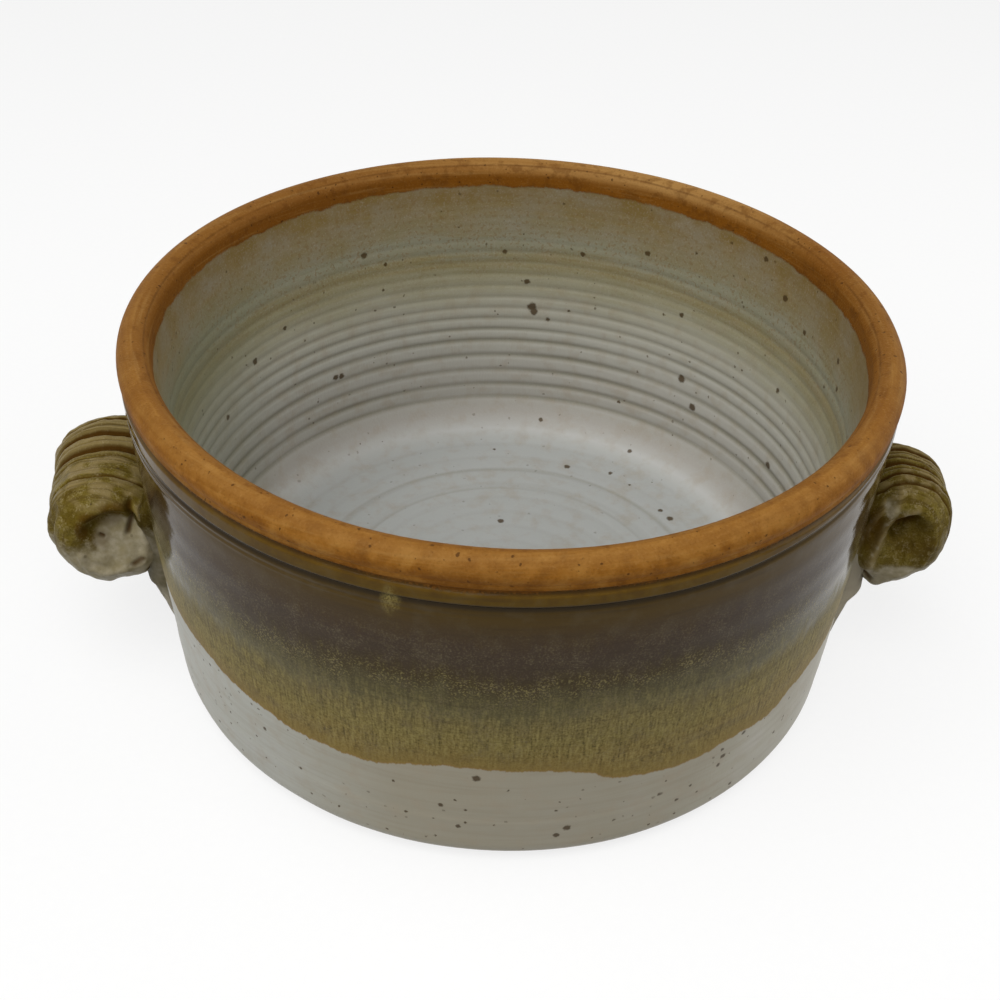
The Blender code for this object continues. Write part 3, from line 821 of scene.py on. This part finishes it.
# Marks in the ends: points (out, up), half width and depth; a depth under 0 is a pale ridge
LEFT_MARKS = (
    (((-9.4, 12.5), (-10.0, 8.0), (-8.4, 3.2)), 1.7, 1.4),
    (((-0.3, 2.2), (0.5, 2.6)), 1.3, 0.8),
    (((-10.6, -4.6), (-8.4, -6.4)), 1.5, 0.5),
    (((-13.0, -8.0), (-11.4, -10.0)), 1.3, 0.6),
    (((7.0, -3.5), (5.0, -8.0), (-1.0, -9.6), (-6.0, -8.4)), 2.2, -0.9),
    (((-12.0, 11.0), (-12.8, 5.0), (-12.4, -1.0), (-10.6, -6.0)), 1.7, -1.1),
)
RIGHT_MARKS = (
    (((-9.5, -11.0), (-6.6, -13.0)), 1.6, 1.6),
    (((-8.8, -9.0), (-7.6, -1.5), (-6.8, 5.0), (-5.2, 10.5), (-3.4, 15.0)), 2.6, -1.3),
    (((-5.4, 5.4), (-1.0, 9.8), (2.8, 10.6)), 1.6, -0.7),
    (((-13.6, -8.0), (-12.6, 3.0), (-8.0, 12.0)), 1.1, -0.8),
    (((-11.6, 2.0), (-9.6, 8.0), (-5.5, 13.5)), 0.8, -0.5),
)

# Clay pulled out of round at the front ends: middle (out, up), reach, and pull (out, up)
LEFT_PULLS = (((-13.0, -4.0), 9.0, (-1.6, 0.0)), ((-11.0, -12.0), 7.0, (-0.8, -1.2)))
RIGHT_PULLS = (((-5.0, -15.5), 7.0, (0.6, -2.4)), ((9.0, -15.0), 7.0, (0.0, 1.2)))

# Patches on the ends: painted shade with darker glaze under the arches of the hollows and in the right end's
# eye, and buff glaze, two patches of which on the right are painted glints: middle and radii (out, up), and
# how strong the patch is
LEFT_SHADE = (
    ((5.4, 6.0), (2.4, 4.4), 0.75), ((2.0, 10.2), (4.6, 2.4), 0.80), ((-5.0, 12.4), (6.0, 2.2), 0.65),
    ((-2.0, 9.0), (8.0, 5.0), 0.40), ((0.4, 1.8), (4.0, 3.6), 0.35),
)
RIGHT_SHADE = (
    ((4.0, 1.0), (11.0, 7.5), 0.25), ((-0.2, 6.0), (5.4, 4.6), 1.0), ((-10.5, 4.0), (4.5, 9.0), 0.65),
)
LEFT_BUFF = (((-5.0, 1.5), (10.0, 9.5), 1.2), ((-11.0, 0.0), (7.0, 9.0), 1.0))
# On the right end the second and third patches are painted glints on top of the roll; the others are buff
# glaze
RIGHT_BUFF_AND_GLINT = (
    ((3.0, -11.0), (12.0, 5.0), 1.0), ((-5.8, 11.0), (3.6, 3.0), 0.65), ((-1.0, 10.8), (5.0, 2.0), 0.3),
    ((-12.0, -7.0), (4.5, 4.5), 0.3),
)


def path_distance(point, path):
    """How far a point lies from a line through some points."""
    best = math.inf
    for start, end in zip(path, path[1:]):
        run = (end[0] - start[0], end[1] - start[1])
        way = (point[0] - start[0], point[1] - start[1])
        share = (way[0] * run[0] + way[1] * run[1]) / (run[0] ** 2 + run[1] ** 2)
        share = min(1.0, max(0.0, share))
        best = min(best, math.dist(point, (start[0] + run[0] * share, start[1] + run[1] * share)))
    return best


def patched(patches, out, up):
    """How much of a point of an end lies in some patches, from 0 to 1."""
    most = 0.0
    for middle, radii, strength in patches:
        within = 1 - math.hypot((out - middle[0]) / radii[0], (up - middle[1]) / radii[1])
        most = max(most, strength * ease(0.0, 0.55, within))
    return min(1.0, most)


def roll_handle(name, roll, grooves, hollows, marks, pulls, shades, buffs_and_glints, buff_height, worn_from):
    """A ridged roll: turned from its profile, then shaped to its wall, its ridges and its hollow."""
    half = roll["length"] / 2
    profile = [(0.0, -half)]
    line_to(profile, (LIP_RADIUS, -half), ROLL_STEP)
    steps = round(roll["length"] / ROLL_STEP)
    for number in range(1, steps):
        along = roll["length"] * number / steps - half
        inset = max(0.0, abs(along) - (half - DOME_DEPTH))
        profile.append((DOME_CENTRE + math.sqrt(END_ROUND ** 2 - inset ** 2), along))
    profile.append((LIP_RADIUS, half))
    line_to(profile, (0.0, half), ROLL_STEP)
    bm = turned([(across, along, 0) for across, along in profile], (0, 1, 0), ROLL_SEGMENTS)
    layers = float_layers(bm, HANDLE_LAYERS)
    for vert in bm.verts:
        out, along, up = vert.co
        radius = math.hypot(out, up)
        spot = Vector((out, along, up + roll["side"] * 50))
        front = ease(END_REACH[0] - half, END_REACH[1] - half, along)
        rear = ease(half - END_REACH[0], half - END_REACH[1], along)
        end = front + rear
        inwards = front - rear

        # Finger ridges round the side
        side_share = ease(LIP_RADIUS - 1, LIP_RADIUS + 2, radius)
        cut = deepest = 0.0
        for middle, groove_half, depth, top_share, pooled in grooves:
            bend = GROOVE_BEND * noise.noise(Vector((out, up, middle)) / GROOVE_BEND_SIZE)
            share = hump(along - middle - bend, groove_half) * (1 + (top_share - 1) * ease(*TOP_HEIGHTS, up))
            cut += depth * share
            deepest = max(deepest, share * pooled)
        lump = 0.5 * noise.noise(spot / 8.0) + 0.2 * noise.noise(spot / 2.5)
        slim = (radius - cut * side_share + lump) / radius if radius > 0.5 else 1.0

        # Hollows, lumps and marks in the ends
        push = 0.0
        for hollow in hollows:
            aside = (out - hollow["middle"][0], up - hollow["middle"][1])
            dent = 1 - math.hypot(aside[0] / hollow["radii"][0], aside[1] / hollow["radii"][1])
            softer = aside[0] * hollow["soft"][0] + aside[1] * hollow["soft"][1]
            softer = max(0.0, softer / (math.hypot(*aside) + ON_AXIS))
            edge = hollow["edge"] * (1 + SOFTER_EDGE * softer)
            push += hollow["depth"] * ease(0.0, edge, dent) * ease(*hollow["runout"], up) * inwards
        push += (0.7 * noise.noise(spot / 5.0) + 0.3 * noise.noise(spot / 2.2)) * inwards
        scratch = ridge = 0.0
        for path, mark_half, depth in marks:
            share = hump(path_distance((out, up), path), mark_half) * end
            push += depth * share * inwards
            if depth > 0:
                scratch = max(scratch, share)
            else:
                ridge = max(ridge, share)
        pull_out = pull_up = 0.0
        for middle, reach, pull in pulls:
            share = hump(math.dist((out, up), middle), reach) * front
            pull_out += pull[0] * share
            pull_up += pull[1] * share

        # Grown wider to the rear, and pressed on to the wall
        share = (along + half) / roll["length"]
        width = ROLL_WIDTH + (roll["rear_width"] - ROLL_WIDTH) * share
        tall = roll["heights"][0] + (roll["heights"][1] - roll["heights"][0]) * share
        height = HANDLE_HEIGHT + (up * slim + pull_up) * tall / ROLL_WIDTH
        across = wall_radius(HANDLE_HEIGHT) + ROLL_CENTRE + (out * slim + pull_out) * width / ROLL_WIDTH
        seat = wall_radius(height) - WALL_SINK
        press = max(1.0, seat / math.hypot(across, along + push))
        vert.co = beside_dish(roll["side"], across * press, (along + push) * press, height)

        # What the glaze reads
        low_buff = ease(buff_height + BUFF_BLEND, buff_height - BUFF_BLEND, up)
        vert[layers["groove"]] = max(deepest * side_share, 0.6 * scratch)
        rubbed_ridge = ridge * (0.28 + 0.5 * noise.noise(spot / 1.6))
        vert[layers["buff_and_painted_light"]] = max(low_buff, patched(buffs_and_glints, out, up) * end, rubbed_ridge)
        # Painted shade with darker glaze in the end's hollows, under their arches
        vert[layers["shade_and_dark_glaze"]] = patched(shades, out, up) * end
        # Painted glints: pale patches on top of the roll near its front end
        painted_glint = ease(*SHINE_HEIGHTS, up) * ease(*SHINE_PLACE, along)
        painted_glint *= ease(-0.1, 0.3, noise.noise(spot / 4.0))
        rear_worn = ease(worn_from - WORN_BLEND, worn_from + WORN_BLEND, along)
        vert[layers["worn_and_glint"]] = max(0.85 * rear_worn, 0.9 * painted_glint, 0.9 * ridge) * (1 - deepest)
        vert[layers["along"]] = along
    finish_piece(name, bm, handle_glaze)


roll_handle(
    "left_handle", LEFT_ROLL, LEFT_GROOVES, LEFT_HOLLOWS, LEFT_MARKS, LEFT_PULLS, LEFT_SHADE,
    LEFT_BUFF, buff_height=-1.0, worn_from=-1.0,
)
roll_handle(
    "right_handle", RIGHT_ROLL, RIGHT_GROOVES, RIGHT_HOLLOWS, RIGHT_MARKS, RIGHT_PULLS, RIGHT_SHADE,
    RIGHT_BUFF_AND_GLINT, buff_height=-9.0, worn_from=3.0,
)

# Floor
# A plain white sheet of studio paper that the dish stands on.

FLOOR_HALF = 4000.0
floor_mesh = bmesh.new()
bmesh.ops.create_grid(floor_mesh, x_segments=1, y_segments=1, size=FLOOR_HALF * MM)
mesh = bpy.data.meshes.new("studio_floor")
floor_mesh.to_mesh(mesh)
floor_mesh.free()
studio_floor = bpy.data.objects.new("studio_floor", mesh)
bpy.context.scene.collection.objects.link(studio_floor)


def seen_share(tree):
    """1 for what the camera sees, straight or in a mirror, and 0 for what only throws light."""
    rays = [add(tree, "LightPath", {}, out=f"Is {kind} Ray") for kind in ("Camera", "Glossy", "Transmission")]
    seen = add(tree, "Math", {0: rays[0], 1: rays[1]}, operation="MAXIMUM")
    return add(tree, "Math", {0: seen, 1: rays[2]}, operation="MAXIMUM")


# White paper: matt, shown at plain white to the camera and to mirrors, with the dish's shadow on
# it. It throws back less light than it shows, as paper that lies far from its lamps does.
paper = bpy.data.materials.new("white_studio_paper")
paper.use_nodes = True
tree = paper.node_tree
shader = tree.nodes["Principled BSDF"]
fibre = mottle(tree, add(tree, "TexCoord", {}, out="Object"), 3.0, detail=3.0)
tone = add(tree, "ValToRGB", {0: fibre}, stops=((0.3, "#b3b3b2"), (0.7, "#b6b6b5")))
tree.links.new(tone, shader.inputs["Base Color"])
shader.inputs["Roughness"].default_value = 0.9
shader.inputs["Specular IOR Level"].default_value = 0.1
glow = add(tree, "Emission", {"Color": "#ffffff", "Strength": 1.3})
glow_share = add(tree, "Math", {0: seen_share(tree), 1: 0.60}, operation="MULTIPLY")
lit = add(tree, "MixShader", {0: glow_share, 1: shader.outputs[0], 2: glow})
tree.links.new(lit, tree.nodes["Material Output"].inputs["Surface"])
mesh.materials.append(paper)

# Studio light
# One large soft box above, to the front and left, a weaker one on the right, and the white walls
# of the studio all round.

WALLS_THROW = 0.20
WALLS_SHOW = 1.0
world = bpy.data.worlds.new("white_studio")
bpy.context.scene.world = world
world.use_nodes = True
tree = world.node_tree
walls = add(tree, "MapRange", {0: seen_share(tree), 3: WALLS_THROW, 4: WALLS_SHOW})
tree.links.new(walls, tree.nodes["Background"].inputs["Strength"])
tree.nodes["Background"].inputs["Color"].default_value = linear("#ffffff")

for name, width, watts, stand in (
    ("main_soft_box", 1.3, 17.5, (-0.33, -0.42, 1.08)), ("side_soft_box", 0.9, 5.0, (1.00, 0.00, 0.60)),
):
    soft_box = bpy.data.lights.new(name, "AREA")
    soft_box.size = width
    soft_box.energy = watts
    soft_box_stand = bpy.data.objects.new(name, soft_box)
    soft_box_stand.location = stand
    soft_box_stand.rotation_euler = (-soft_box_stand.location).to_track_quat("-Z", "Y").to_euler()
    bpy.context.scene.collection.objects.link(soft_box_stand)

# Camera
# It looks down on the dish from the front, close enough to show its inside.

CAMERA_PLACE = (-12.56, -359.8, 325.2)
CAMERA_YAW = math.radians(1.70)
CAMERA_PITCH = math.radians(37.56)
CAMERA_ROLL = math.radians(-2.15)
CAMERA_LENS = 47.52
CAMERA_SENSOR = 36.0
ahead = Vector((
    math.sin(CAMERA_YAW) * math.cos(CAMERA_PITCH),
    math.cos(CAMERA_YAW) * math.cos(CAMERA_PITCH),
    -math.sin(CAMERA_PITCH),
))
level = Vector((math.cos(CAMERA_YAW), -math.sin(CAMERA_YAW), 0))
below = ahead.cross(level)
right = level * math.cos(CAMERA_ROLL) + below * math.sin(CAMERA_ROLL)
down = below * math.cos(CAMERA_ROLL) - level * math.sin(CAMERA_ROLL)
camera = bpy.data.cameras.new("photo_camera")
camera.sensor_width = CAMERA_SENSOR
camera.lens = CAMERA_LENS
photo_camera = bpy.data.objects.new("photo_camera", camera)
turn = Matrix((right, -down, -ahead)).transposed().to_4x4()
photo_camera.matrix_world = Matrix.Translation(Vector(CAMERA_PLACE) * MM) @ turn
bpy.context.scene.collection.objects.link(photo_camera)
bpy.context.scene.camera = photo_camera
bpy.context.scene.view_settings.view_transform = "Standard"
